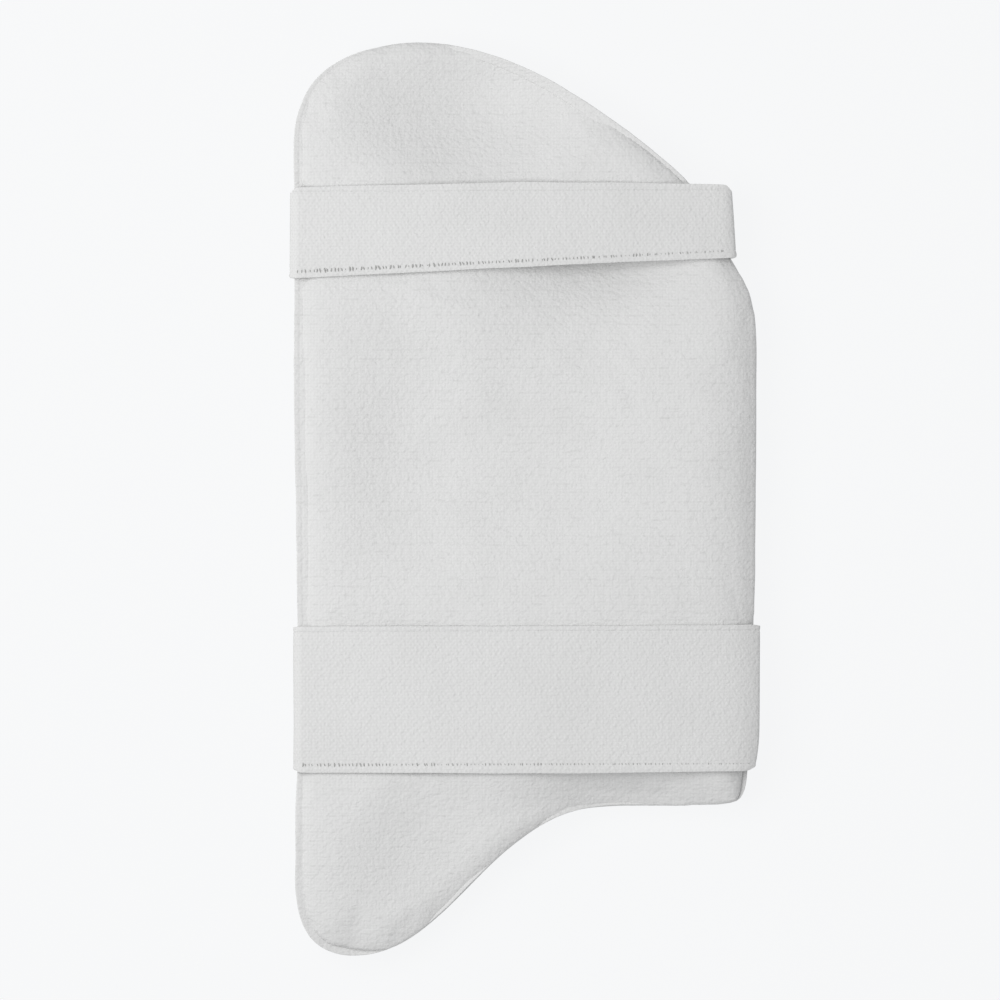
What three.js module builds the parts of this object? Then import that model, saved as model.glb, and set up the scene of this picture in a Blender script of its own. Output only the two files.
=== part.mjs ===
// Cricket thigh pad, lying on its outer face with the shallow inner face up and both elastic straps
// fastened across it. Millimetres, +Z up, +Y towards the crown that sits at the hip.
// The origin is on the floor, under the middle of the pad's box.
import * as THREE from "three";

// Padding: one foam slab in a fabric cover, bent to the thigh.
const FACE_LEVEL = 30.8; // height of the inner face, just under the straps
const END_FALL = 5; // how much lower the inner face lies at the crown and the toe
const END_FROM = 140; // ...starting this far from the middle of the length
const END_TO = 200;
const INNER_WALL = 0.45; // share of the inner face's fall that stands as an upright wall at its edge
const OUTER_WALL = 0.18; // the same for the outer face
const UNDER_RADIUS = 130; // curve of the outer face, about the leg's axis
const REST_HALF = 26; // half the width that the pad's own weight presses flat
const UNDER_SHOULDER = 13; // width of the outer face's rounding into the sewn edge

// Sewn lip: the two covers' edges, stitched flat together all round the padding.
const LIP_THICK = 2;
const GAP = 0.4; // clearance between neighbouring pieces

// Straps: flat elastic, with a hook tab holding the free end to the outer face.
const STRAP_THICK = 1.6;
const STRAP_LEFT_END = -58; // where the sewn end stops, under the pad
const STRAP_RIGHT_END = 59; // where the free end stops, under the pad
const TAB_THICK = 1.2;
const TAB_NEAR = 56; // the tab's end towards the middle, under the pad
const TAB_FROM_FOLD = 18; // from its other end to the strap's fold
const TAB_CLEAR = 6; // the strap lies level this far past the tab
const TAB_STEPS = 4;
const TAB_RAMP = 9; // the strap climbs onto its tab over this length
const TAB_MARGIN = 4; // the tab is narrower than its strap by this much at each edge

// How finely the surfaces are cut.
const ROWS = 56;
const MIDDLE_COLUMNS = 13;
const SHOULDER_INSETS = [0, 1.2, 3.6, 7.6, 13, 20];
const FULL_INSET_CHORD = 70; // rows shorter than this draw their shoulder insets closer together
const CURVE_STEPS = 40; // points along the edge from one of its nodes to the next
const STRAP_ACROSS = [0, 0.2, 0.5, 0.8, 1]; // shares of a strap's width
const LONGEST_STEP = 7; // along a strap
const SHARPEST_TURN = 0.24; // radians, from one step of a strap to the next
const CORNER_STEP = 0.15; // radians, round a corner that a strap is drawn over
const SECTION_STEP = 1.5; // spacing of the sections that a strap is drawn round
const SECTION_POINTS = 100; // points across each of those sections
const SAME_POINT = 1e-3; // points closer than this are one

// The sewn edge from above, counter-clockwise from the toe. heading is the way the edge runs there, in
// degrees from +X, row the height on the left edge that faces it, lip the width of the sewn lip outside
// the padding, shoulder the width over which the inner face falls to it, and level its height above the
// floor.
const EDGE = [
  { name: "toe", x: -74.4, y: -200, heading: 0, row: -200, lip: 4.8, shoulder: 16, level: 17.5 },
  { name: "toe_bottom", x: -58.2, y: -196.4, heading: 24, row: -196.8, lip: 1.2, shoulder: 13, level: 18 },
  { name: "toe_right", x: -32.8, y: -177.4, heading: 44, row: -174, lip: 0.9, shoulder: 6, level: 19.5 },
  { name: "sweep", x: 10.9, y: -139.8, heading: 27, row: -146, lip: 1.4, shoulder: 6, level: 22 },
  { name: "hem_left", x: 39.4, y: -133.6, heading: 0, row: -129, lip: 1, shoulder: 8, level: 13.5 },
  { name: "hem_right", x: 90, y: -133.6, heading: 3, row: -112, lip: 1.3, shoulder: 8, level: 18.5 },
  { name: "right_low", x: 97.4, y: -121, heading: 86, row: -72, lip: 4, shoulder: 8, level: 22 },
  { name: "right_middle", x: 100.2, y: -44, heading: 90, row: -30, lip: 0.9, shoulder: 17, level: 22.5 },
  { name: "right_high", x: 100.8, y: 78, heading: 91, row: 78, lip: 0.9, shoulder: 16, level: 22.5 },
  { name: "shoulder", x: 92, y: 102, heading: 129, row: 102, lip: 1.4, shoulder: 9, level: 23 },
  { name: "slope_low", x: 71.3, y: 139.4, heading: 136, row: 140, lip: 2.8, shoulder: 9, level: 27.3 },
  { name: "slope_high", x: 25.8, y: 174.8, heading: 147, row: 173, lip: 2.8, shoulder: 10, level: 24.8 },
  { name: "crown", x: -44.5, y: 200, heading: 180, row: 200, lip: 1, shoulder: 4, level: 19 },
  { name: "crown_left", x: -97.5, y: 174.8, heading: 247, row: 174.8, lip: 2, shoulder: 4, level: 26.2 },
  { name: "left_high", x: -101.2, y: 152, heading: 270, row: 152, lip: 2.8, shoulder: 4, level: 29.3 },
  { name: "under_upper_strap", x: -100.5, y: 117, heading: 270, row: 117, lip: 3, shoulder: 5, level: 28 },
  { name: "left_middle", x: -101, y: 58, heading: 270, row: 58, lip: 3.2, shoulder: 4, level: 29.8 },
  { name: "left_lower", x: -99.7, y: -40, heading: 270, row: -40, lip: 3.2, shoulder: 4, level: 29.8 },
  { name: "under_lower_strap", x: -97.9, y: -88, heading: 270, row: -88, lip: 3, shoulder: 5, level: 28 },
  { name: "left_low", x: -100.3, y: -146, heading: 272, row: -146, lip: 3, shoulder: 4, level: 29.2 },
  { name: "toe_left", x: -93.2, y: -192.8, heading: 309, row: -192.8, lip: 4.6, shoulder: 8, level: 22.5 },
];
const CROWN = EDGE.findIndex((node) => node.name === "crown");

// Hollows pressed into the inner face: centre, half sizes and depth.
const DENTS = [
  { name: "hollow_middle", x: 0, y: 26, halfX: 84, halfY: 84, depth: 6 },
  { name: "left_valley", x: -54, y: 30, halfX: 34, halfY: 120, depth: 3.6 },
  { name: "below_upper_strap", x: 28, y: 95, halfX: 72, halfY: 44, depth: 7.2 },
  { name: "gap_at_upper_strap", x: 36, y: 104, halfX: 44, halfY: 20, depth: 6.6 },
  { name: "crown_hollow", x: -20, y: 168, halfX: 68, halfY: 43, depth: 12.5 },
  { name: "fall_to_hem", x: 45, y: -134, halfX: 70, halfY: 24, depth: 14 },
  { name: "toe_hollow", x: -37, y: -156, halfX: 54, halfY: 50, depth: 7.5 },
];

// Straps. edges gives the band's lower and upper edge where it crosses x, ends how far it has fallen from
// the inner face's level at some places near its folds, folds where it turns under the pad's side at a
// share of its width, and dips how far its edges draw in at those folds, as rounded corners.
const STRAPS = [
  {
    name: "upper",
    edges: [
      { x: -101, low: 96.5, high: 136.2 },
      { x: -55, low: 98.9, high: 137.5 },
      { x: 0, low: 101.6, high: 138.6 },
      { x: 55, low: 104.3, high: 138.3 },
      { x: 92, low: 105.5, high: 137.6 },
    ],
    ends: [
      { x: -99, fall: 0 },
      { x: 87, fall: 0 },
      { x: 90, fall: 0.4 },
      { x: 91.4, fall: 0.9 },
    ],
    folds: [
      { across: 0, left: -102.9, right: 92.4 },
      { across: 1, left: -102.6, right: 90.6 },
    ],
    dips: { leftLow: 0.5, leftHigh: 3, rightLow: 0.5, rightHigh: 4 },
  },
  {
    name: "lower",
    edges: [
      { x: -100, low: -119.2, high: -55.4 },
      { x: 20, low: -119.6, high: -55.2 },
      { x: 100, low: -118.4, high: -54.7 },
    ],
    ends: [
      { x: -98, fall: 0 },
      { x: 86, fall: 0 },
      { x: 91.5, fall: 0.3 },
      { x: 95, fall: 1 },
      { x: 98, fall: 2 },
      { x: 100, fall: 3 },
    ],
    folds: [
      { across: 0, left: -101.4, right: 101 },
      { across: 0.2, left: -101, right: 102.8 },
      { across: 1, left: -101.4, right: 102.9 },
    ],
    dips: { leftLow: 2.5, leftHigh: 0.6, rightLow: 3, rightHigh: 0.8 },
  },
];
const CORNER_REACH = 4; // how far from a fold the band's edges start to draw in
const SECTION_MARGIN = 25; // how far beyond the band's edges they are looked for
const BAND_MARGIN = 1.2; // how far beyond the band's edges the pad still bears on it
const FOLD_FROM = 0.86; // share of the way to the fold where a band starts to lean towards its own

// Finishes, all matt white cloth.
const FINISH = {
  cover: { color: 0xdcdcda, roughness: 0.85, metalness: 0 },
  lip: { color: 0xdededc, roughness: 0.85, metalness: 0 },
  elastic: { color: 0xdedddb, roughness: 0.8, metalness: 0 },
  hookTape: { color: 0xd2d2d0, roughness: 0.7, metalness: 0 },
};

const lerp = THREE.MathUtils.lerp;
const smoothstep = THREE.MathUtils.smoothstep;

// A value from a table's named columns, at a place between two rows.
function tableAt(rows, keyColumn, key, column) {
  const next = rows.findIndex((row) => row[keyColumn] >= key);
  if (next === 0) return rows[0][column];
  if (next < 0) return rows[rows.length - 1][column];
  const [a, b] = [rows[next - 1], rows[next]];
  return lerp(a[column], b[column], (key - a[keyColumn]) / (b[keyColumn] - a[keyColumn]));
}

function direction(degrees) {
  const angle = THREE.MathUtils.degToRad(degrees);
  return new THREE.Vector2(Math.cos(angle), Math.sin(angle));
}

// The curve from one edge node to the next, with handles as long as a round arc's.
function edgeCurve(a, b) {
  const start = new THREE.Vector2(a.x, a.y);
  const end = new THREE.Vector2(b.x, b.y);
  const turn = direction(a.heading).angleTo(direction(b.heading));
  const isStraight = turn < CORNER_STEP / 10;
  const roundness = isStraight ? 1 / 3 : ((2 / 3) * Math.tan(turn / 4)) / Math.sin(turn / 2);
  const handle = roundness * start.distanceTo(end);
  return new THREE.CubicBezierCurve(
    start,
    start.clone().addScaledVector(direction(a.heading), handle),
    end.clone().addScaledVector(direction(b.heading), -handle),
    end,
  );
}

// One side of the edge, from the crown down to the toe, as points that also carry the row that they
// face, the outward normal, and the lip, shoulder and level there. The left side runs the same way as
// the table, and the right side against it.
function edgeBranch(nodes, isLeft) {
  const points = [];
  const last = nodes.length - 2;
  for (let i = 0; i <= last; i++) {
    const [a, b] = [nodes[i], nodes[i + 1]];
    const curve = isLeft ? edgeCurve(a, b) : edgeCurve(b, a);
    for (let k = i === 0 ? 0 : 1; k <= CURVE_STEPS; k++) {
      const u = k / CURVE_STEPS;
      // Beside the crown and the toe the edge runs level, so the row falls off with the square.
      const share = i === 0 ? u * u : i === last ? 1 - (1 - u) ** 2 : u;
      const along = isLeft ? u : 1 - u;
      const spot = curve.getPoint(along);
      const atNode = { 0: a, [CURVE_STEPS]: b }[k];
      const tangent = atNode ? direction(atNode.heading) : curve.getTangent(along);
      points.push({
        x: spot.x,
        y: spot.y,
        normalX: tangent.y,
        normalY: -tangent.x,
        row: -lerp(a.row, b.row, share),
        lip: lerp(a.lip, b.lip, u),
        shoulder: lerp(a.shoulder, b.shoulder, u),
        level: lerp(a.level, b.level, u),
      });
    }
  }
  return points;
}
const toe = EDGE[0];
const leftEdge = edgeBranch([...EDGE.slice(CROWN), toe], true);
const rightEdge = edgeBranch(EDGE.slice(0, CROWN + 1).reverse(), false);

// The edge point that faces a row, moved inwards from the sewn edge by some share of the lip and a
// further distance.
function edgeAt(branch, row, lipShare, inwards) {
  const at = (column) => tableAt(branch, "row", -row, column);
  const distance = at("lip") * lipShare + inwards;
  return {
    x: at("x") - at("normalX") * distance,
    y: at("y") - at("normalY") * distance,
    shoulder: at("shoulder"),
    level: at("level"),
  };
}

// Rows crowd together towards the crown and the toe, as the edge turns level there.
const rowAt = (j) => ((EDGE[CROWN].row - toe.row) / 2) * Math.cos((Math.PI * j) / ROWS);
const rowNumbers = Array.from({ length: ROWS + 1 }, (_, j) => j);
const leftPadding = rowNumbers.map((j) => edgeAt(leftEdge, rowAt(j), 1, 0));
const rightPadding = rowNumbers.map((j) => edgeAt(rightEdge, rowAt(j), 1, 0));
const paddingLoop = [...leftPadding, ...rightPadding.slice(1, -1).reverse()];

// How far a spot lies inside the padding's edge, and the shoulder's width and the level of the edge
// nearest to it.
function insideEdge(x, y) {
  let best = { distance: Infinity };
  paddingLoop.forEach((a, i) => {
    const b = paddingLoop[(i + 1) % paddingLoop.length];
    const [dx, dy] = [b.x - a.x, b.y - a.y];
    const along = ((x - a.x) * dx + (y - a.y) * dy) / (dx * dx + dy * dy);
    const share = THREE.MathUtils.clamp(along, 0, 1);
    const distance = Math.hypot(x - a.x - dx * share, y - a.y - dy * share);
    if (distance < best.distance) {
      const [shoulder, level] = [lerp(a.shoulder, b.shoulder, share), lerp(a.level, b.level, share)];
      best = { distance, shoulder, level };
    }
  });
  return best;
}

function underHeight(x) {
  const beyond = Math.max(0, Math.abs(x) - REST_HALF);
  return UNDER_RADIUS - Math.sqrt(UNDER_RADIUS ** 2 - beyond ** 2);
}

// The way out of the outer face, in the XZ plane.
function underNormal(x) {
  const lean = Math.asin((Math.sign(x) * Math.max(0, Math.abs(x) - REST_HALF)) / UNDER_RADIUS);
  return new THREE.Vector2(Math.sin(lean), -Math.cos(lean));
}

// The inner face's rise from its edge: an upright wall, then a slope that eases off to level.
function innerRise(share) {
  const s = Math.min(1, share);
  return INNER_WALL + (1 - INNER_WALL) * s * (2 - s);
}

// The outer face's fall from its edge: an upright wall, then a quarter ellipse.
function outerFall(share) {
  const s = Math.min(1, share);
  return OUTER_WALL + (1 - OUTER_WALL) * Math.sqrt(1 - (1 - s) ** 2);
}

function dentDepth(x, y) {
  return DENTS.reduce((sum, dent) => {
    const spread = ((x - dent.x) / dent.halfX) ** 2 + ((y - dent.y) / dent.halfY) ** 2;
    return sum + (spread < 1 ? dent.depth * (1 - spread) ** 2 : 0);
  }, 0);
}

function innerFace(x, y) {
  const { distance, shoulder, level } = insideEdge(x, y);
  const top = FACE_LEVEL - END_FALL * smoothstep(Math.abs(y), END_FROM, END_TO) - dentDepth(x, y);
  return lerp(level, top, innerRise(distance / shoulder));
}

function outerFace(x, y) {
  const { distance, level } = insideEdge(x, y);
  const under = Math.min(underHeight(x), level - LIP_THICK);
  return lerp(level, under, outerFall(distance / UNDER_SHOULDER));
}

// Shares of a chord of some length, crowded towards its two ends.
function columnShares(chord) {
  const scale = Math.min(1, chord / FULL_INSET_CHORD);
  const near = SHOULDER_INSETS.map((inset) => (inset * scale) / chord);
  const first = near[near.length - 1];
  const middle = Array.from({ length: MIDDLE_COLUMNS - 1 }, (_, i) =>
    lerp(first, 1 - first, (i + 1) / MIDDLE_COLUMNS),
  );
  return [...near, ...middle, ...near.map((share) => 1 - share).reverse()];
}

// A closed solid between two grids of points with the same rows and columns. Its walls join the grids
// along all four borders, and triangles that a pole or a shared border flattens to a line are left out.
function solidBetween(upper, lower) {
  const corners = [];
  const triangle = (a, b, c) => {
    const flat = [[a, b], [b, c], [c, a]].some(([p, q]) => p.distanceTo(q) < SAME_POINT);
    if (!flat) corners.push(a, b, c);
  };
  const quad = (a, b, c, d) => {
    triangle(a, b, c);
    triangle(a, c, d);
  };
  const lastRow = upper.length - 1;
  const lastColumn = upper[0].length - 1;
  for (let j = 0; j < lastRow; j++) {
    for (let i = 0; i < lastColumn; i++) {
      quad(upper[j][i], upper[j + 1][i], upper[j + 1][i + 1], upper[j][i + 1]);
      quad(lower[j][i], lower[j][i + 1], lower[j + 1][i + 1], lower[j + 1][i]);
    }
    quad(upper[j][0], lower[j][0], lower[j + 1][0], upper[j + 1][0]);
    quad(upper[j + 1][lastColumn], lower[j + 1][lastColumn], lower[j][lastColumn], upper[j][lastColumn]);
  }
  for (let i = 0; i < lastColumn; i++) {
    quad(upper[0][i + 1], lower[0][i + 1], lower[0][i], upper[0][i]);
    quad(upper[lastRow][i], lower[lastRow][i], lower[lastRow][i + 1], upper[lastRow][i + 1]);
  }
  const geometry = new THREE.BufferGeometry().setFromPoints(corners);
  geometry.computeVertexNormals();
  return geometry;
}

function piece(name, geometry, finish) {
  const mesh = new THREE.Mesh(geometry, new THREE.MeshStandardMaterial(finish));
  mesh.name = name;
  return mesh;
}

// The padded body: rows of chords from the left edge to the right edge, on both faces.
function padBody() {
  const faceGrid = (height) =>
    rowNumbers.map((j) => {
      const [a, b] = [leftPadding[j], rightPadding[j]];
      const chord = Math.hypot(b.x - a.x, b.y - a.y);
      return columnShares(Math.max(chord, SAME_POINT)).map((share) => {
        const [x, y] = [lerp(a.x, b.x, share), lerp(a.y, b.y, share)];
        return new THREE.Vector3(x, y, height(x, y));
      });
    });
  return piece("pad_body", solidBetween(faceGrid(innerFace), faceGrid(outerFace)), FINISH.cover);
}

// The sewn lip: a flat ring round the padding, between its edge and the outline.
function edgeLip() {
  const loopAt = (lipShare, inwards) => {
    const side = (branch) => rowNumbers.map((j) => edgeAt(branch, rowAt(j), lipShare, inwards));
    return [...side(leftEdge), ...side(rightEdge).slice(1, -1).reverse()];
  };
  const inner = loopAt(1, -GAP);
  const outer = loopAt(0, 0);
  const cornerAt = (spot, offset) => new THREE.Vector3(spot.x, spot.y, spot.level + offset);
  const half = LIP_THICK / 2;
  const section = [
    [inner, half],
    [outer, half],
    [outer, -half],
    [inner, -half],
  ];
  const corners = [];
  inner.forEach((_, i) => {
    const next = (i + 1) % inner.length;
    section.forEach(([loop, offset], k) => {
      const [loopAfter, offsetAfter] = section[(k + 1) % section.length];
      const [a, b] = [cornerAt(loop[i], offset), cornerAt(loopAfter[i], offsetAfter)];
      const [c, d] = [cornerAt(loopAfter[next], offsetAfter), cornerAt(loop[next], offset)];
      corners.push(a, b, c, a, c, d);
    });
  });
  const geometry = new THREE.BufferGeometry().setFromPoints(corners);
  geometry.computeVertexNormals();
  return piece("edge_lip", geometry, FINISH.lip);
}

// The convex outline of points in the XZ plane, counter-clockwise.
function convexHull(points) {
  const sorted = [...points].sort((p, q) => p.x - q.x || p.y - q.y);
  const turnsLeft = (o, a, b) => (a.x - o.x) * (b.y - o.y) - (a.y - o.y) * (b.x - o.x) > 0;
  const chain = (list) =>
    list.reduce((hull, point) => {
      while (hull.length > 1 && !turnsLeft(hull.at(-2), hull.at(-1), point)) hull.pop();
      return [...hull, point];
    }, []);
  const below = chain(sorted);
  const above = chain(sorted.reverse());
  return [...below.slice(0, -1), ...above.slice(0, -1)];
}

// The pad's own section where a strap crosses it, as points in the XZ plane.
function sectionPoints(strap) {
  const points = [];
  const add = (x, y, z) => {
    const low = tableAt(strap.edges, "x", x, "low") - BAND_MARGIN;
    const high = tableAt(strap.edges, "x", x, "high") + BAND_MARGIN;
    if (y >= low && y <= high) points.push(new THREE.Vector2(x, z));
  };
  const firstRow = Math.min(...strap.edges.map((edge) => edge.low)) - SECTION_MARGIN;
  const lastRow = Math.max(...strap.edges.map((edge) => edge.high)) + SECTION_MARGIN;
  for (let row = firstRow; row <= lastRow; row += SECTION_STEP) {
    [leftEdge, rightEdge].forEach((branch) => {
      const spot = edgeAt(branch, row, 0, 0);
      add(spot.x, spot.y, spot.level + LIP_THICK / 2);
      add(spot.x, spot.y, spot.level - LIP_THICK / 2);
    });
    const [a, b] = [edgeAt(leftEdge, row, 1, 0), edgeAt(rightEdge, row, 1, 0)];
    for (let k = 0; k <= SECTION_POINTS; k++) {
      const share = k / SECTION_POINTS;
      const [x, y] = [lerp(a.x, b.x, share), lerp(a.y, b.y, share)];
      add(x, y, innerFace(x, y));
      add(x, y, outerFace(x, y));
    }
  }
  const held = strap.ends.map(({ x, fall }) => new THREE.Vector2(x, FACE_LEVEL - fall));
  return [...points, ...held];
}

// A path at a distance outside a counter-clockwise hull, with round corners, running clockwise from
// the middle of its underside.
function pathAround(hull, distance) {
  const path = [];
  hull.forEach((corner, i) => {
    const before = hull[(i + hull.length - 1) % hull.length];
    const after = hull[(i + 1) % hull.length];
    const outward = (p, q) => Math.atan2(-(q.x - p.x), q.y - p.y);
    const start = outward(before, corner);
    const turn = (outward(corner, after) - start + 4 * Math.PI) % (2 * Math.PI);
    const steps = Math.max(1, Math.ceil(turn / CORNER_STEP));
    for (let k = 0; k <= steps; k++) {
      const angle = start + (turn * k) / steps;
      path.push(
        new THREE.Vector2(corner.x + distance * Math.cos(angle), corner.y + distance * Math.sin(angle)),
      );
    }
  });
  path.reverse();
  const lowest = path.reduce((best, p, i) => (p.y < path[best].y - SAME_POINT ? i : best), 0);
  return [...path.slice(lowest), ...path.slice(0, lowest)];
}

// Points along a path, closer together where it turns.
function resample(path, longest, sharpest) {
  const stepTo = (i) => path[i].clone().sub(path[i - 1]);
  const rows = [];
  let cost = 0;
  path.forEach((point, i) => {
    const turn = i < 2 ? 0 : stepTo(i - 1).angleTo(stepTo(i));
    cost += i < 1 ? 0 : stepTo(i).length() / longest + turn / sharpest;
    rows.push({ cost, x: point.x, y: point.y });
  });
  const count = Math.ceil(cost);
  return Array.from({ length: count + 1 }, (_, k) => {
    const spent = (cost * k) / count;
    return new THREE.Vector2(tableAt(rows, "cost", spent, "x"), tableAt(rows, "cost", spent, "y"));
  });
}

const tabFar = (strap) => strap.folds[0].right - TAB_FROM_FOLD;

// A strap's middle line round the pad's section, from its sewn end on the left to its free end, which
// steps down onto its hook tab.
function strapPath(strap, hull) {
  const around = pathAround(hull, GAP + STRAP_THICK / 2);
  const top = Math.max(...hull.map((p) => p.y));
  const isUnder = (p) => p.y < top / 2;
  const start = around.findIndex((p) => isUnder(p) && p.x < STRAP_LEFT_END);
  const stop = around.findIndex((p, i) => i > start && isUnder(p) && p.x > 0 && p.x < STRAP_RIGHT_END);
  const rampStart = tabFar(strap) + TAB_CLEAR;
  const line = resample(around.slice(start, stop), SECTION_STEP, CORNER_STEP).map((p) => {
    const onTab = p.x > 0 && isUnder(p) ? 1 - smoothstep(p.x, rampStart, rampStart + TAB_RAMP) : 0;
    return p.clone().addScaledVector(underNormal(p.x), (GAP + TAB_THICK) * onTab);
  });
  return resample(line, LONGEST_STEP, SHARPEST_TURN);
}

// Where a strap's band lies in plan: its lower and upper edge at a point of its path.
function bandEdges(strap, path, index) {
  const leftFold = path.reduce((best, p, i) => (p.x < path[best].x ? i : best), 0);
  const rightFold = path.reduce((best, p, i) => (p.x > path[best].x ? i : best), 0);
  const x = path[THREE.MathUtils.clamp(index, leftFold, rightFold)].x;
  const drawIn = (fold) => {
    const share = Math.min(1, Math.abs(path[fold].x - path[index].x) / CORNER_REACH);
    return 1 - Math.sqrt(1 - (1 - share) ** 2);
  };
  const [left, right] = [drawIn(leftFold), drawIn(rightFold)];
  return {
    low: tableAt(strap.edges, "x", x, "low") + strap.dips.leftLow * left + strap.dips.rightLow * right,
    high: tableAt(strap.edges, "x", x, "high") - strap.dips.leftHigh * left - strap.dips.rightHigh * right,
  };
}

// A band of some thickness that follows a path in the XZ plane. edgesAt gives its lower and upper edge
// at a point of the path, and shiftX where a point of it lies at a share of the band's width.
function bandSolid(path, thick, edgesAt, shiftX) {
  const grid = (side) =>
    path.map((p, k) => {
      const before = path[Math.max(0, k - 1)];
      const after = path[Math.min(path.length - 1, k + 1)];
      const normal = new THREE.Vector2(before.y - after.y, after.x - before.x).normalize();
      const spot = p.clone().addScaledVector(normal, (side * thick) / 2);
      const { low, high } = edgesAt(k);
      return STRAP_ACROSS.map(
        (across) => new THREE.Vector3(shiftX(spot.x, across), lerp(low, high, across), spot.y),
      );
    });
  return solidBetween(grid(1), grid(-1));
}

function strapBand(strap) {
  const path = strapPath(strap, convexHull(sectionPoints(strap)));
  const widest = {
    left: Math.min(...path.map((p) => p.x)) - STRAP_THICK / 2,
    right: Math.max(...path.map((p) => p.x)) + STRAP_THICK / 2,
  };
  const toFold = (x, across) => {
    const side = x < 0 ? "left" : "right";
    const stretch = tableAt(strap.folds, "across", across, side) / widest[side];
    return x * lerp(1, stretch, smoothstep(x / widest[side], FOLD_FROM, 1));
  };
  const solid = bandSolid(path, STRAP_THICK, (k) => bandEdges(strap, path, k), toFold);
  return piece(`${strap.name}_strap`, solid, FINISH.elastic);
}

// The hook tab between a strap's free end and the outer face.
function hookTab(strap) {
  const path = Array.from({ length: TAB_STEPS + 1 }, (_, k) => {
    const x = lerp(tabFar(strap), TAB_NEAR, k / TAB_STEPS);
    const under = new THREE.Vector2(x, underHeight(x));
    return under.addScaledVector(underNormal(x), GAP + TAB_THICK / 2);
  });
  const fold = strap.edges.at(-1);
  const edges = { low: fold.low + TAB_MARGIN, high: fold.high - TAB_MARGIN };
  const solid = bandSolid(path, TAB_THICK, () => edges, (x) => x);
  return piece(`${strap.name}_hook_tab`, solid, FINISH.hookTape);
}

const thighPad = new THREE.Group();
thighPad.name = "thigh_pad";
thighPad.add(padBody(), edgeLip());
STRAPS.forEach((strap) => thighPad.add(strapBand(strap), hookTab(strap)));

export default thighPad;
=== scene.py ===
"""A cricket thigh pad lying on its outer face, seen from above, with both straps fastened across it."""

import math

import bmesh
import bpy
from mathutils import Matrix, Vector, noise


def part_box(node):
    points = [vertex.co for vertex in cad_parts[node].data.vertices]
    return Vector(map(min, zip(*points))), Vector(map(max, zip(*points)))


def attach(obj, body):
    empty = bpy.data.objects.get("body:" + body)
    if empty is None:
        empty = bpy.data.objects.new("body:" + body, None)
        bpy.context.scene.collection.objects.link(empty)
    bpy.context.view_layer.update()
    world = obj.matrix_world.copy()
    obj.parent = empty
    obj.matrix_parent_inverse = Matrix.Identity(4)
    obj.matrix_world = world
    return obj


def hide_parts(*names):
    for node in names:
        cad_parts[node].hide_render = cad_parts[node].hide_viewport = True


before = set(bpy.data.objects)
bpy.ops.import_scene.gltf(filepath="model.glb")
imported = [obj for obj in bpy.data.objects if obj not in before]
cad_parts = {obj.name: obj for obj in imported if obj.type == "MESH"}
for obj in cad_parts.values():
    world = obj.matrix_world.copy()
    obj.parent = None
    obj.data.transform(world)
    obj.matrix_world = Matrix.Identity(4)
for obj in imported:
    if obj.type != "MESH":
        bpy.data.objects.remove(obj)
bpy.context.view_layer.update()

MM = 0.001

# Work on meshes: where a look along Z starts, how close corners are merged, which triangles become quads, the
# steps in a rounded edge, and how far up a face has to look to count as an upper side.
LOOK_FROM = 200 * MM
MERGE_WITHIN = 0.002 * MM
QUAD_ANGLE = math.radians(60)
EDGE_STEPS = 2
FACES_UP = 0.5

# Where the picture looks: its middle, and the width it takes in at the height of the sewn edge.
PICTURE_MIDDLE = (-10.9 * MM, -0.2 * MM)
PICTURE_WIDTH = 437.6 * MM
PICTURE_HEIGHT = 24 * MM
LENS = 300
SENSOR = 36
CAMERA_REACH = 50

# The padded body: its grain and how that is eased, and how far the stuffing may push the cover.
PAD_GRAIN = 2.6 * MM
PAD_EASE = 1
EASE_SHARE = 0.5
PAD_SWELL = 0.6 * MM
PAD_PRESSURE = 4
SWELL_FRAMES = 20
SWELL_QUALITY = 5
FREE_SLOPE = 0.3

# The pad's rim: how far it is pushed out where it is a wall, and the slopes that count as wall and as face.
RIM_PUSH = 1.5 * MM
RIM_WALL = 0.3
RIM_FACE = 0.9

# Where the upper strap pinches the pad's left side. The pinch fades over its reach at each side of the strap,
# with the shorter share of the reach under the lower side and outside the upper side.
PINCH_DEPTH = 3.4 * MM
PINCH_REACH = 9 * MM
PINCH_WIDTH = 16 * MM
PINCH_SHORT = 0.3
PINCH_LONG = 0.7

# The sewn edge: how far it runs in under the pad and sinks there, how far it may stand above the pad's face
# and the thickness that it keeps, its rounding and its seam groove.
LIP_TUCK = 2.6 * MM
LIP_SINK = 0.6 * MM
LIP_STEP = 0.7 * MM
LIP_LEFT = 1 * MM
LIP_ROUND = 0.6 * MM
LIP_ANGLE = math.radians(40)
LIP_CUTS = 7
LIP_GROOVE = 0.2 * MM

# Inwards, for the sewn edge, is towards this place across the pad, with a weaker pull along the pad.
INWARD_X = -20 * MM
INWARD_PULL = 0.6

# The straps: hem along the lower side, a narrow fold line along the upper side.
HEM_WIDTH = 3.4 * MM
HEM_GROOVE = 0.9 * MM
HEM_DEPTH = 0.2 * MM
HEM_ROLL = 0.3 * MM
FOLD_LINE = 2.4 * MM
FOLD_GROOVE = 0.7 * MM
FOLD_DEPTH = 0.3 * MM
STRAP_ROUND = 0.45 * MM
STRAP_ANGLE = math.radians(50)
STRAP_END = 0.12
SAME_LINE = 0.05 * MM

# The hook tabs.
TAB_ROUND = 0.3 * MM
TAB_ANGLE = math.radians(50)
TAB_SMOOTH = math.radians(40)

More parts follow.
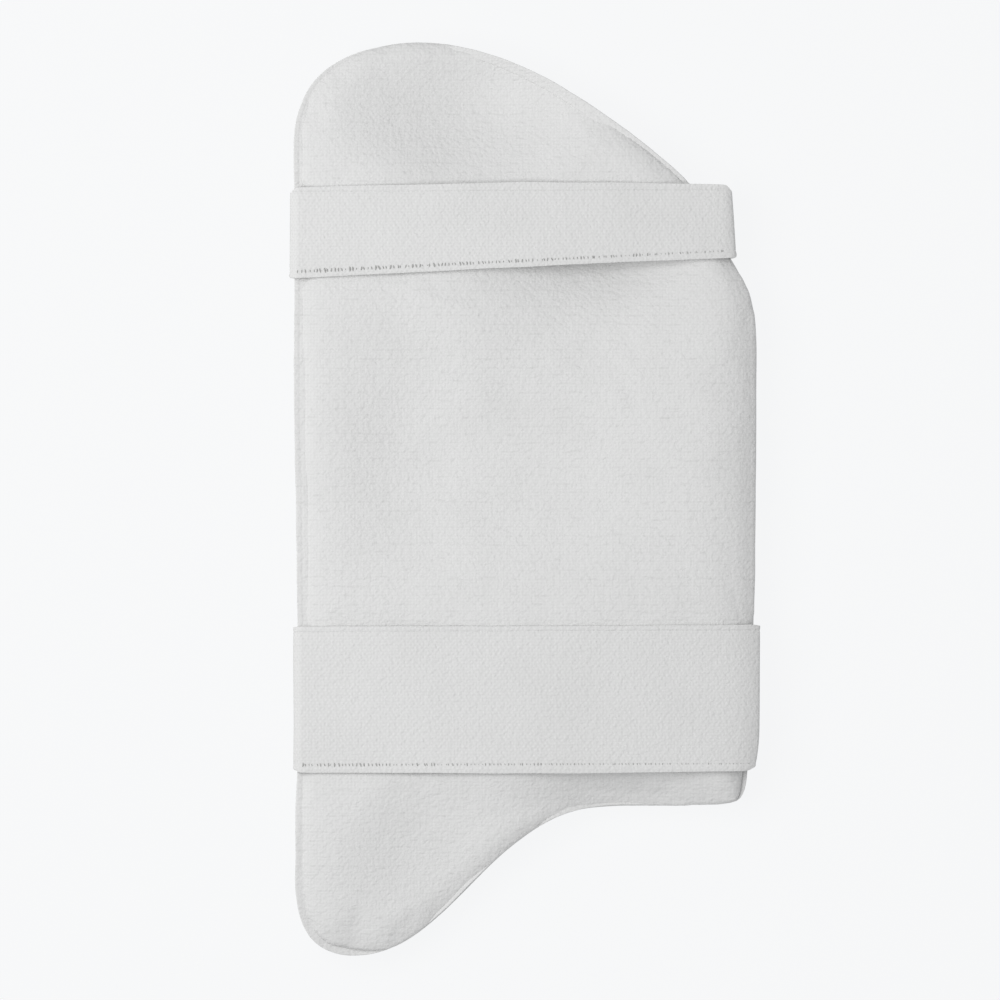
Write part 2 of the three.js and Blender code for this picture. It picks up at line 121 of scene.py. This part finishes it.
# One stitch, the step between stitches, how uneven they are, and how a row weakens from left to right.
STITCH_SIZE = (0.3 * MM, 0.9 * MM, 0.28 * MM)
STITCH_SEGMENTS = 8
STITCH_RINGS = 5
STITCH_STEP = 1.6 * MM
STITCH_LIFT = 0.18 * MM
STITCH_SLANT = math.radians(12)
STITCH_SWAY = math.radians(40)
STITCH_STRAY = 0.9 * MM
STITCH_UNEVEN = 0.9
STITCH_CHANCE = 777
STITCH_FADE = 0.5
STITCH_STRENGTH = {"upper_strap": 1.0, "lower_strap": 0.8}

# Where the rows of stitches stop short, and the share of a strap's height that counts as its outer side.
HEM_END_INSET = 4 * MM
SEWN_END_INSET = 4 * MM
OUTER_SHARE = 0.4

# The seed of all unevenness in cloth and stitches, so that every run draws the same.
NOISE_SEED = 4

# Unevenness of soft cloth: how far it wanders, and over what length.
PAD_WANDER = (0.22 * MM, 16 * MM)
LIP_WANDER = (0.3 * MM, 11 * MM)
STRAP_WANDER = (0.2 * MM, 20 * MM)

# Colours of the cloth and of the sewing thread.
CLOTH_PALE = (0.72, 0.72, 0.716)
CLOTH_DARK = (0.63, 0.63, 0.624)
THREAD_PALE = (0.5, 0.5, 0.49)
THREAD_DARK = (0.3, 0.3, 0.295)

# Spacing in the weave: threads, rows of thicker threads and how they waver, slanting knots, and hooks.
THREAD_PITCH = 1.36 * MM
ROW_PITCH = 3.7 * MM
ROW_WANDER = 4 * MM
KNOT_PITCH = 2.06 * MM
RISING = -0.9
FALLING = 0.63
HOOK_PITCH = 1.8 * MM

# The elastic's length is x times a spread that drops with height, so that its rows run on round the folds.
ELASTIC_SPREAD = 1.3
ELASTIC_DROP = 9

# How fine each unevenness is along x, y and z, and which part of a noise or wave makes it.
COVER_SCALE = {
    "rows": (60, 60, 60),
    "slubs": (280, 330, 280),
    "fibres": (560, 640, 560),
    "wrinkles": (190, 260, 190),
    "creases": (70, 110, 70),
    "mottle": (40, 40, 40),
}
ELASTIC_SCALE = {
    "fibres": (600, 640, 600),
    "wrinkles": (180, 220, 180),
    "mottle": (30, 30, 30),
}
THREAD_SCALE = (80, 80, 80)
ROW_RANGE = (0.5, 1)
SLUB_RANGE = (0.48, 0.62)
MOTTLE_RANGE = (0.35, 0.75)
CREASE_WIDTH = 0.016
CREASE_SHARE = 0.5
PATCH_SCALE = (140, 170, 140)
PATCH_EDGE = 0.1

# How high each unevenness stands in the cloth, and how much it darkens the cloth, over a base.
COVER_BUMP = 0.09 * MM
COVER_HEIGHT = {"fibres": 5, "wrinkles": 4, "creases": -0.6}
# The crease lines' share of darkening is painted shade, the shade that falls in each crease.
COVER_SHADE = {"base": 0.25, "mottle": 0.2, "creases": 0.15, "threads": 0.09, "twill": 0.07, "slubs": 0.4}
ELASTIC_BUMP = 0.08 * MM
ELASTIC_HEIGHT = {"fibres": 6, "wrinkles": 3}
ELASTIC_SHADE = {"base": 0.35, "mottle": 0.2, "threads": 0.1, "knots": 0.11}
HOOK_BUMP = 0.2 * MM
HOOK_SHADE = {"base": 0.5, "hooks": -0.4}

# The floor, the light from all round, and the lamp.
FLOOR_SIZE = 12
FLOOR_COLOUR = (0.05, 0.05, 0.05, 1)
FLOOR_ROUGHNESS = 0.9
GLOW_COLOUR = (0.985, 0.992, 1.0, 1)
GLOW_STRENGTH = 0.895
ROUND_COLOUR = (0.985, 0.99, 1.0, 1)
ROUND_STRENGTH = 0.45
LAMP_PLACE = (-0.55, 0.12, 1.15)
LAMP_SIZE = 0.9
LAMP_POWER = 11.8


# Selecting and shaping

def only(piece):
    """Select one piece and make it the active one."""
    bpy.ops.object.select_all(action="DESELECT")
    piece.select_set(True)
    bpy.context.view_layer.objects.active = piece


def apply_all(piece):
    """Apply every modifier of a piece, in order."""
    only(piece)
    for modifier in list(piece.modifiers):
        bpy.ops.object.modifier_apply(modifier=modifier.name)


def copy_of_node(node, name):
    """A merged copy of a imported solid, as quads where that works, ready to be shaped."""
    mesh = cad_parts[node].data.copy()
    mesh.name = name
    mesh.materials.clear()
    piece = bpy.data.objects.new(name, mesh)
    bpy.context.scene.collection.objects.link(piece)
    only(piece)
    bpy.ops.object.mode_set(mode="EDIT")
    bpy.ops.mesh.select_all(action="SELECT")
    bpy.ops.mesh.remove_doubles(threshold=MERGE_WITHIN)
    bpy.ops.mesh.customdata_custom_splitnormals_clear()
    bpy.ops.mesh.tris_convert_to_quads(
        face_threshold=QUAD_ANGLE,
        shape_threshold=QUAD_ANGLE,
    )
    bpy.ops.object.mode_set(mode="OBJECT")
    return piece


def soften_edges(piece, width, angle):
    """Round every edge sharper than an angle."""
    bevel = piece.modifiers.new("soft_edge", "BEVEL")
    bevel.width = width
    bevel.segments = EDGE_STEPS
    bevel.limit_method = "ANGLE"
    bevel.angle_limit = angle


def subdivide(piece, levels):
    """Round a piece by splitting its faces a number of times."""
    rounding = piece.modifiers.new("rounding", "SUBSURF")
    rounding.levels = levels
    rounding.render_levels = levels


def ruffle(piece, wander):
    """Let a soft surface wander a little, as cloth that has been handled does."""
    reach, length = wander
    for vertex in piece.data.vertices:
        vertex.co += noise.noise_vector(vertex.co / length) * reach


def smooth_step(value, low, high):
    """A smooth rise from 0 to 1 as a value goes from low to high."""
    share = min(1.0, max(0.0, (value - low) / (high - low)))
    return share * share * (3 - 2 * share)


# The padded body

def regrain(piece):
    """Give a form an even grain, drawn back onto its own surface so that its rim stays in place."""
    form = bpy.data.objects.new("form", piece.data.copy())
    bpy.context.scene.collection.objects.link(form)
    remesh = piece.modifiers.new("grain", "REMESH")
    remesh.mode = "VOXEL"
    remesh.voxel_size = PAD_GRAIN
    ease = piece.modifiers.new("ease", "SMOOTH")
    ease.factor = EASE_SHARE
    ease.iterations = PAD_EASE
    wrap = piece.modifiers.new("wrap", "SHRINKWRAP")
    wrap.target = form
    wrap.wrap_method = "PROJECT"
    wrap.use_negative_direction = True
    wrap.project_limit = PAD_GRAIN
    apply_all(piece)
    bpy.data.objects.remove(form)


def pin_cover(piece):
    """Hold the cover where it lies on the floor and where a strap presses on it."""
    group = piece.vertex_groups.new(name="held")
    bands = [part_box("upper_strap"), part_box("lower_strap")]
    for vertex in piece.data.vertices:
        steep = vertex.normal.z < FREE_SLOPE
        strapped = any(low.y < vertex.co.y < high.y for low, high in bands)
        if steep or strapped:
            group.add([vertex.index], 1.0, "REPLACE")
    return group.name


def swell(piece, held):
    """Let the stuffing push the cover out, no further than the cap."""
    before = [vertex.co.copy() for vertex in piece.data.vertices]
    cloth = piece.modifiers.new("stuffing", "CLOTH")
    cloth.settings.quality = SWELL_QUALITY
    cloth.settings.use_pressure = True
    cloth.settings.uniform_pressure_force = PAD_PRESSURE
    cloth.settings.vertex_group_mass = held
    cloth.settings.effector_weights.gravity = 0
    cloth.point_cache.frame_start = 1
    cloth.point_cache.frame_end = SWELL_FRAMES
    for step in range(1, SWELL_FRAMES + 1):
        bpy.context.scene.frame_set(step)
    only(piece)
    bpy.ops.object.modifier_apply(modifier=cloth.name)
    for vertex, start in zip(piece.data.vertices, before):
        move = vertex.co - start
        if move.length > PAD_SWELL:
            vertex.co = start + move * (PAD_SWELL / move.length)
    bpy.context.scene.frame_set(1)


def pinch_under_strap(piece):
    """Draw the pad's left side in under the upper strap, so that it swells out below the hem."""
    low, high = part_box("upper_strap")
    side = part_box("pad_body")[0].x
    short = PINCH_SHORT * PINCH_REACH
    long = PINCH_LONG * PINCH_REACH
    upward = [vertex for vertex in piece.data.vertices if vertex.normal.z > 0]
    for vertex in upward:
        near_side = 1 - smooth_step(vertex.co.x, side, side + PINCH_WIDTH)
        below = 1 - smooth_step(low.y - vertex.co.y, -short, long)
        above = 1 - smooth_step(vertex.co.y - high.y, -long, short)
        vertex.co.x += PINCH_DEPTH * near_side * below * above


def fill_rim(piece):
    """Push the pad's rim back out over the sewn edge, where the rounding has drawn it in."""
    normals = [vertex.normal.copy() for vertex in piece.data.vertices]
    for vertex, normal in zip(piece.data.vertices, normals):
        upright = 1 - smooth_step(abs(normal.z), RIM_WALL, RIM_FACE)
        vertex.co += Vector((normal.x, normal.y, 0)) * RIM_PUSH * upright


def make_pad():
    """The stuffed body: its solid with an even grain, swollen by the stuffing, rounded and let wander."""
    piece = copy_of_node("pad_body", "pad")
    subdivide(piece, 2)
    apply_all(piece)
    regrain(piece)
    held = pin_cover(piece)
    swell(piece, held)
    subdivide(piece, 1)
    apply_all(piece)
    fill_rim(piece)
    pinch_under_strap(piece)
    ruffle(piece, PAD_WANDER)
    for vertex in piece.data.vertices:
        vertex.co.z = max(vertex.co.z, 0)
    bpy.ops.object.shade_smooth()
    return piece


# The sewn edge

def faces_pad(face):
    """True for a wall of the sewn edge that looks inwards, at the pad."""
    middle = face.calc_center_median()
    towards = Vector((INWARD_X - middle.x, -INWARD_PULL * middle.y, 0))
    return abs(face.normal.z) < FACES_UP and face.normal.dot(towards) > 0


def tuck_lip(piece, pad):
    """Run the sewn edge in under the pad: its walls that face the pad move that way, and stay low."""
    bpy.ops.object.mode_set(mode="EDIT")
    mesh = bmesh.from_edit_mesh(piece.data)
    mesh.normal_update()
    moves = {}
    for face in mesh.faces:
        if faces_pad(face):
            for vertex in face.verts:
                moves[vertex] = moves.get(vertex, Vector()) + Vector((face.normal.x, face.normal.y, 0))
    for vertex, move in moves.items():
        vertex.co += move.normalized() * LIP_TUCK
        on_top = any(face.normal.z > FACES_UP for face in vertex.link_faces)
        if on_top:
            vertex.co.z -= LIP_SINK
        above = Vector((vertex.co.x, vertex.co.y, LOOK_FROM))
        hit, spot, _, _ = pad.ray_cast(above, Vector((0, 0, -1)))
        if hit:
            step = LIP_STEP if on_top else LIP_STEP - LIP_LEFT
            vertex.co.z = min(vertex.co.z, spot.z + step)
    bmesh.update_edit_mesh(piece.data)
    bpy.ops.object.mode_set(mode="OBJECT")


def cut_lip(piece):
    """Cut the sewn edge's upper side into strips along its length, and sink the middle line between them."""
    bpy.ops.object.mode_set(mode="EDIT")
    bpy.ops.mesh.select_mode(type="EDGE")
    bpy.ops.mesh.select_all(action="DESELECT")
    mesh = bmesh.from_edit_mesh(piece.data)
    mesh.normal_update()
    old_count = len(mesh.verts)
    for edge in mesh.edges:
        upper = all(face.normal.z > FACES_UP for face in edge.link_faces)
        edge.select = upper and len(edge.link_faces) == 2
    bmesh.update_edit_mesh(piece.data)
    bpy.ops.mesh.subdivide(number_cuts=LIP_CUTS)
    mesh = bmesh.from_edit_mesh(piece.data)
    mesh.verts.ensure_lookup_table()
    reached = set(mesh.verts[:old_count])
    for ring in range(LIP_CUTS // 2):
        reached |= {edge.other_vert(vertex) for vertex in reached for edge in vertex.link_edges}
    for vertex in mesh.verts:
        if vertex not in reached:
            vertex.co.z -= LIP_GROOVE
    bmesh.update_edit_mesh(piece.data)
    bpy.ops.object.mode_set(mode="OBJECT")


def make_lip(pad):
    """The flat sewn edge round the pad: tucked in under the pad, with a seam groove and rolled corners."""
    piece = copy_of_node("edge_lip", "lip")
    only(piece)
    tuck_lip(piece, pad)
    cut_lip(piece)
    soften_edges(piece, LIP_ROUND, LIP_ANGLE)
    subdivide(piece, 1)
    apply_all(piece)
    ruffle(piece, LIP_WANDER)
    bpy.ops.object.shade_smooth()
    return piece


# The straps

def strap_edges(node):
    """The strap's lower and upper side as straight lines: where they start, and a height and slope each."""
    corners = [vertex.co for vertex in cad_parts[node].data.vertices]
    low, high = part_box(node)
    reach = STRAP_END * (high.x - low.x)
    left = [co.y for co in corners if co.x < low.x + reach]
    right = [co.y for co in corners if co.x > high.x - reach]
    span = high.x - low.x - reach
    lower = (min(left), (min(right) - min(left)) / span)
    upper = (max(left), (max(right) - max(left)) / span)
    return low.x + reach / 2, lower, upper


def line_at(start, line, x):
    """How far along Y a line of the strap lies at one place across the pad."""
    return line[0] + line[1] * (x - start)


def cut_along(start, line, offset):
    """Cut the mesh in edit mode along a line parallel to one side of the strap."""
    bpy.ops.mesh.select_all(action="SELECT")
    bpy.ops.mesh.bisect(
        plane_co=(start, line[0] + offset, 0),
        plane_no=(-line[1], 1, 0),
    )


def is_outer(co, normal, middle):
    """True on the side of the strap that faces away from the pad."""
    return normal.dot(Vector((co.x - middle.x, 0, co.z - middle.z))) > 0


def press_line(piece, start, line, offset, depth, middle):
    """Sink one line of the strap's outer side by a depth, or lift it where the depth is negative."""
    mesh = bmesh.from_edit_mesh(piece.data)
    mesh.normal_update()
    for vertex in mesh.verts:
        near = abs(vertex.co.y - line_at(start, line, vertex.co.x) - offset) < SAME_LINE
        if near and is_outer(vertex.co, vertex.normal, middle):
            vertex.co -= vertex.normal * depth
    bmesh.update_edit_mesh(piece.data)


def make_strap(node, name):
    """One elastic strap, with a rolled hem and its stitch groove below and a fold line above."""
    piece = copy_of_node(node, name)
    start, lower, upper = strap_edges(node)
    low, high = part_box(node)
    middle = (low + high) / 2
    only(piece)
    bpy.ops.object.mode_set(mode="EDIT")
    for offset in (HEM_WIDTH / 2, HEM_WIDTH - HEM_GROOVE / 2, HEM_WIDTH, HEM_WIDTH + HEM_GROOVE / 2):
        cut_along(start, lower, offset)
    for offset in (FOLD_LINE - FOLD_GROOVE / 2, FOLD_LINE, FOLD_LINE + FOLD_GROOVE / 2):
        cut_along(start, upper, -offset)
    press_line(piece, start, lower, HEM_WIDTH, HEM_DEPTH, middle)
    press_line(piece, start, lower, HEM_WIDTH / 2, -HEM_ROLL, middle)
    press_line(piece, start, upper, -FOLD_LINE, FOLD_DEPTH, middle)
    bpy.ops.object.mode_set(mode="OBJECT")
    soften_edges(piece, STRAP_ROUND, STRAP_ANGLE)
    subdivide(piece, 2)
    apply_all(piece)
    ruffle(piece, STRAP_WANDER)
    bpy.ops.object.shade_smooth()
    return piece


def make_tab(node, name):
    """One piece of hook tape, with its edges softened."""
    piece = copy_of_node(node, name)
    soften_edges(piece, TAB_ROUND, TAB_ANGLE)
    apply_all(piece)
    bpy.ops.object.shade_smooth_by_angle(angle=TAB_SMOOTH)
    return piece


# Stitches

def stitch_row(name, strap, first, last, look, strength, fade):
    """A row of slanting stitches from one point to another, each set where a look along Z meets the strap."""
    count = int((last - first).length / STITCH_STEP)
    step = (last - first) / count
    bpy.ops.object.select_all(action="DESELECT")
    bpy.ops.mesh.primitive_uv_sphere_add(
        segments=STITCH_SEGMENTS,
        ring_count=STITCH_RINGS,
        radius=1,
        location=(0, 0, 0),
    )
    row = bpy.context.active_object
    row.name = name
    bpy.ops.object.mode_set(mode="EDIT")
    bpy.ops.mesh.select_all(action="SELECT")
    bpy.ops.transform.resize(value=STITCH_SIZE)
    bpy.ops.transform.rotate(value=math.atan2(step.y, step.x), orient_axis="Z", center_override=(0, 0, 0))
    bpy.ops.object.mode_set(mode="OBJECT")
    per_stitch = len(row.data.vertices)
    array = row.modifiers.new("row", "ARRAY")
    array.count = count
    array.use_relative_offset = False
    array.use_constant_offset = True
    array.constant_offset_displace = step
    apply_all(row)
    for number in range(count):
        place = first + step * number
        start = Vector((place.x, place.y, -look * LOOK_FROM))
        hit, spot, _, _ = strap.ray_cast(start, Vector((0, 0, look)))
        middle = (spot if hit else place) - Vector((0, 0, look * STITCH_LIFT))
        chance = noise.noise_vector(place * STITCH_CHANCE)
        middle += (last - first).normalized() * STITCH_STRAY * chance.x
        turn = Matrix.Rotation(STITCH_SLANT + STITCH_SWAY * chance.y, 3, "Z")
        size = (strength - fade * number / count) * (1 + STITCH_UNEVEN * chance.z)
        for index in range(number * per_stitch, (number + 1) * per_stitch):
            vertex = row.data.vertices[index]
            vertex.co = middle + turn @ (vertex.co - step * number) * size
    bpy.ops.object.shade_smooth()
    return row


def hem_stitches(node, strap):
    """The stitches along a strap's hem, from one fold to the other."""
    start, lower, _ = strap_edges(node)
    low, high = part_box(node)
    left = low.x + HEM_END_INSET
    right = high.x - HEM_END_INSET
    first = Vector((left, line_at(start, lower, left) + HEM_WIDTH, 0))
    last = Vector((right, line_at(start, lower, right) + HEM_WIDTH, 0))
    name = node.replace("strap", "hem_stitches")
    return stitch_row(name, strap, first, last, -1, STITCH_STRENGTH[node], STITCH_FADE)


def end_stitches(node, strap):
    """The stitches across a strap's sewn end, on the pad's outer face."""
    low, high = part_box(node)
    sewn = max(
        vertex.co.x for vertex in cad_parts[node].data.vertices
        if vertex.co.x < 0 and vertex.co.z < OUTER_SHARE * high.z
    )
    first = Vector((sewn - SEWN_END_INSET, low.y + 2 * SEWN_END_INSET, 0))
    last = Vector((sewn - SEWN_END_INSET, high.y - 2 * SEWN_END_INSET, 0))
    return stitch_row(node.replace("strap", "end_stitches"), strap, first, last, 1, 1, 0)


# Materials

class Weave:
    """A cloth material in the making: its nodes, its links and its shader."""

    def __init__(self, name, roughness, sheen):
        self.material = bpy.data.materials.new(name)
        self.material.use_nodes = True
        self.nodes = self.material.node_tree.nodes
        self.links = self.material.node_tree.links
        self.shader = self.nodes["Principled BSDF"]
        self.shader.inputs["Roughness"].default_value = roughness
        self.shader.inputs["Sheen Weight"].default_value = sheen
        self.place = self.nodes.new("ShaderNodeTexCoord").outputs["Object"]

    def math(self, operation, *values):
        """The result of a sum, product or other function of numbers and sockets."""
        node = self.nodes.new("ShaderNodeMath")
        node.operation = operation
        for socket, value in zip(node.inputs, values):
            if isinstance(value, (int, float)):
                socket.default_value = value
            else:
                self.links.new(value, socket)
        return node.outputs[0]

    def axes(self):
        """The three Object coordinates, each on its own."""
        split = self.nodes.new("ShaderNodeSeparateXYZ")
        self.links.new(self.place, split.inputs[0])
        return split.outputs

    def wave(self, length, pitch):
        """A sine along a length, with the pitch as its period."""
        return self.math("SINE", self.math("MULTIPLY", length, 2 * math.pi / pitch))

    def stretched(self, scale):
        """Object coordinates with a scale of their own along each axis."""
        mapping = self.nodes.new("ShaderNodeMapping")
        mapping.inputs["Scale"].default_value = scale
        self.links.new(self.place, mapping.inputs["Vector"])
        return mapping.outputs[0]

    def cloud(self, scale, detail):
        """Soft noise between 0 and 1, with a scale for each axis."""
        texture = self.nodes.new("ShaderNodeTexNoise")
        texture.inputs["Scale"].default_value = 1
        texture.inputs["Detail"].default_value = detail
        self.links.new(self.stretched(scale), texture.inputs["Vector"])
        return texture.outputs["Fac"]

    def grid(self, one, other, pitch):
        """Threads that run across each other, as a tone about 0."""
        return self.math("ADD", self.wave(one, pitch), self.wave(other, pitch))

    def ramp(self, value, low, high):
        """A smooth rise from 0 to 1 as a value goes from low to high."""
        node = self.nodes.new("ShaderNodeMapRange")
        node.interpolation_type = "SMOOTHSTEP"
        node.inputs["From Min"].default_value = low
        node.inputs["From Max"].default_value = high
        self.links.new(value, node.inputs["Value"])
        return node.outputs["Result"]

    def creases(self, scale):
        """Short curved crease lines, which sink the cloth and carry painted shade: where a soft noise crosses
        its middle, kept only in patches.
        """
        off_middle = self.math("ABSOLUTE", self.math("SUBTRACT", self.cloud(scale, 1), 0.5))
        line = self.math("SUBTRACT", 1, self.ramp(off_middle, 0, CREASE_WIDTH))
        kept_from = 1 - CREASE_SHARE
        patch = self.ramp(self.cloud(PATCH_SCALE, 2), kept_from, kept_from + PATCH_EDGE)
        return self.math("MULTIPLY", line, patch)

    def total(self, shares, **values):
        """The base among some shares, plus each named value times its share."""
        result = shares.get("base", 0)
        for name, value in values.items():
            result = self.math("MULTIPLY_ADD", value, shares[name], result)
        return result

    def colour(self, pale, dark, value):
        """Let the cloth wander between a paler and a darker tone."""
        mix = self.nodes.new("ShaderNodeMix")
        mix.data_type = "RGBA"
        self.links.new(value, mix.inputs["Factor"])
        mix.inputs["A"].default_value = (*pale, 1)
        mix.inputs["B"].default_value = (*dark, 1)
        self.links.new(mix.outputs["Result"], self.shader.inputs["Base Color"])

    def bump(self, height, distance):
        """Raise the cloth by a height of its own."""
        node = self.nodes.new("ShaderNodeBump")
        node.inputs["Strength"].default_value = 1
        node.inputs["Distance"].default_value = distance
        self.links.new(height, node.inputs["Height"])
        self.links.new(node.outputs["Normal"], self.shader.inputs["Normal"])


def cover_cloth(name):
    """Plain woven cover: crossing threads, broken rows of thicker ones, fibres, wrinkles and crease lines
    darkened with painted shade.
    """
    cloth = Weave(name, roughness=0.95, sheen=0.08)
    x, y, _ = cloth.axes()
    threads = cloth.grid(x, y, THREAD_PITCH)
    twill = cloth.wave(cloth.math("MULTIPLY_ADD", y, RISING, x), KNOT_PITCH)
    wavering = cloth.math("MULTIPLY_ADD", cloth.cloud(COVER_SCALE["rows"], 1), ROW_WANDER, y)
    rows = cloth.ramp(cloth.wave(wavering, ROW_PITCH), *ROW_RANGE)
    patches = cloth.ramp(cloth.cloud(COVER_SCALE["slubs"], 2), *SLUB_RANGE)
    slubs = cloth.math("MULTIPLY", rows, patches)
    fibres = cloth.cloud(COVER_SCALE["fibres"], 1)
    wrinkles = cloth.cloud(COVER_SCALE["wrinkles"], 3)
    creases = cloth.creases(COVER_SCALE["creases"])
    mottle = cloth.ramp(cloth.cloud(COVER_SCALE["mottle"], 3), *MOTTLE_RANGE)
    cloth.bump(cloth.total(COVER_HEIGHT, fibres=fibres, wrinkles=wrinkles, creases=creases), COVER_BUMP)
    # Darkening along the crease lines is painted shade, the shade that falls in each crease.
    shade = cloth.total(
        COVER_SHADE,
        mottle=mottle,
        creases=creases,
        threads=threads,
        twill=twill,
        slubs=slubs,
    )
    cloth.colour(CLOTH_PALE, CLOTH_DARK, shade)
    return cloth.material


def elastic_cloth(name):
    """Elastic webbing: crossing threads and slanting rows of knots, which run on round the folds."""
    cloth = Weave(name, roughness=0.92, sheen=0.08)
    x, y, z = cloth.axes()
    spread = cloth.math("SUBTRACT", ELASTIC_SPREAD, cloth.math("MULTIPLY", z, ELASTIC_DROP))
    along = cloth.math("MULTIPLY", x, spread)
    threads = cloth.grid(along, y, THREAD_PITCH)
    rising = cloth.wave(cloth.math("MULTIPLY_ADD", y, RISING, along), KNOT_PITCH)
    falling = cloth.wave(cloth.math("MULTIPLY_ADD", y, FALLING, along), KNOT_PITCH)
    knots = cloth.math("ADD", rising, falling)
    fibres = cloth.cloud(ELASTIC_SCALE["fibres"], 1)
    wrinkles = cloth.cloud(ELASTIC_SCALE["wrinkles"], 3)
    mottle = cloth.ramp(cloth.cloud(ELASTIC_SCALE["mottle"], 3), *MOTTLE_RANGE)
    cloth.bump(cloth.total(ELASTIC_HEIGHT, fibres=fibres, wrinkles=wrinkles), ELASTIC_BUMP)
    shade = cloth.total(ELASTIC_SHADE, mottle=mottle, threads=threads, knots=knots)
    cloth.colour(CLOTH_PALE, CLOTH_DARK, shade)
    return cloth.material


def hook_tape(name):
    """Hook tape: even rows of tiny hooks."""
    cloth = Weave(name, roughness=0.7, sheen=0)
    x, y, _ = cloth.axes()
    hooks = cloth.math("MULTIPLY", cloth.wave(x, HOOK_PITCH), cloth.wave(y, HOOK_PITCH))
    cloth.bump(hooks, HOOK_BUMP)
    cloth.colour(CLOTH_PALE, CLOTH_DARK, cloth.total(HOOK_SHADE, hooks=hooks))
    return cloth.material


def sewing_thread(name):
    """Grey sewing thread."""
    cloth = Weave(name, roughness=0.8, sheen=0)
    cloth.colour(THREAD_PALE, THREAD_DARK, cloth.cloud(THREAD_SCALE, 2))
    return cloth.material


def finish_piece(piece, material, slot, *nodes):
    """Give a piece its material and hide the solids that it stands for; the slot is not used."""
    piece.data.materials.clear()
    piece.data.materials.append(material)
    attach(piece, "root")
    if nodes:
        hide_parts(*nodes)


# The floor, the light and the camera

def make_floor():
    """A pale floor that glows a little, as a lit table does, so that shadows stay faint."""
    bpy.ops.object.select_all(action="DESELECT")
    bpy.ops.mesh.primitive_plane_add(size=FLOOR_SIZE, location=(0, 0, 0))
    floor = bpy.context.active_object
    floor.name = "floor"
    material = bpy.data.materials.new("pale_floor")
    material.use_nodes = True
    shader = material.node_tree.nodes["Principled BSDF"]
    shader.inputs["Base Color"].default_value = FLOOR_COLOUR
    shader.inputs["Roughness"].default_value = FLOOR_ROUGHNESS
    shader.inputs["Specular IOR Level"].default_value = 0
    shader.inputs["Emission Color"].default_value = GLOW_COLOUR
    shader.inputs["Emission Strength"].default_value = GLOW_STRENGTH
    floor.data.materials.append(material)


def make_lamp():
    """A broad square lamp, high up on the left, that looks at the middle of the floor."""
    lamp = bpy.data.lights.new("key_lamp", "AREA")
    lamp.shape = "SQUARE"
    lamp.size = LAMP_SIZE
    lamp.energy = LAMP_POWER
    stand = bpy.data.objects.new("key_lamp", lamp)
    stand.location = LAMP_PLACE
    stand.rotation_euler = (-stand.location).to_track_quat("-Z", "Y").to_euler()
    bpy.context.scene.collection.objects.link(stand)


def make_light():
    """Even light from all round, and the lamp."""
    world = bpy.data.worlds.new("studio")
    bpy.context.scene.world = world
    world.use_nodes = True
    background = world.node_tree.nodes["Background"]
    background.inputs["Color"].default_value = ROUND_COLOUR
    background.inputs["Strength"].default_value = ROUND_STRENGTH
    make_lamp()
    bpy.context.scene.view_settings.view_transform = "Standard"


def make_camera():
    """Straight down from far off, with the crown to the top of the picture."""
    data = bpy.data.cameras.new("camera")
    data.lens = LENS
    data.sensor_width = SENSOR
    data.clip_end = CAMERA_REACH
    camera = bpy.data.objects.new("camera", data)
    camera.location = (*PICTURE_MIDDLE, PICTURE_HEIGHT + PICTURE_WIDTH * LENS / SENSOR)
    bpy.context.scene.collection.objects.link(camera)
    bpy.context.scene.camera = camera


cover = cover_cloth("cover_cloth")
elastic = elastic_cloth("elastic")
hooks = hook_tape("hook_tape")
thread = sewing_thread("thread")

noise.seed_set(NOISE_SEED)

pad = make_pad()
finish_piece(pad, cover, "cover_cloth", "pad_body")

lip = make_lip(pad)
finish_piece(lip, cover, "lip_cloth", "edge_lip")

for end in ("upper", "lower"):
    strap = make_strap(f"{end}_strap", f"{end}_band")
    finish_piece(strap, elastic, "elastic", f"{end}_strap")
    tab = make_tab(f"{end}_hook_tab", f"{end}_tab")
    finish_piece(tab, hooks, "hook_tape", f"{end}_hook_tab")
    for row in (hem_stitches(f"{end}_strap", strap), end_stitches(f"{end}_strap", strap)):
        finish_piece(row, thread, "elastic")

make_floor()
make_light()
make_camera()
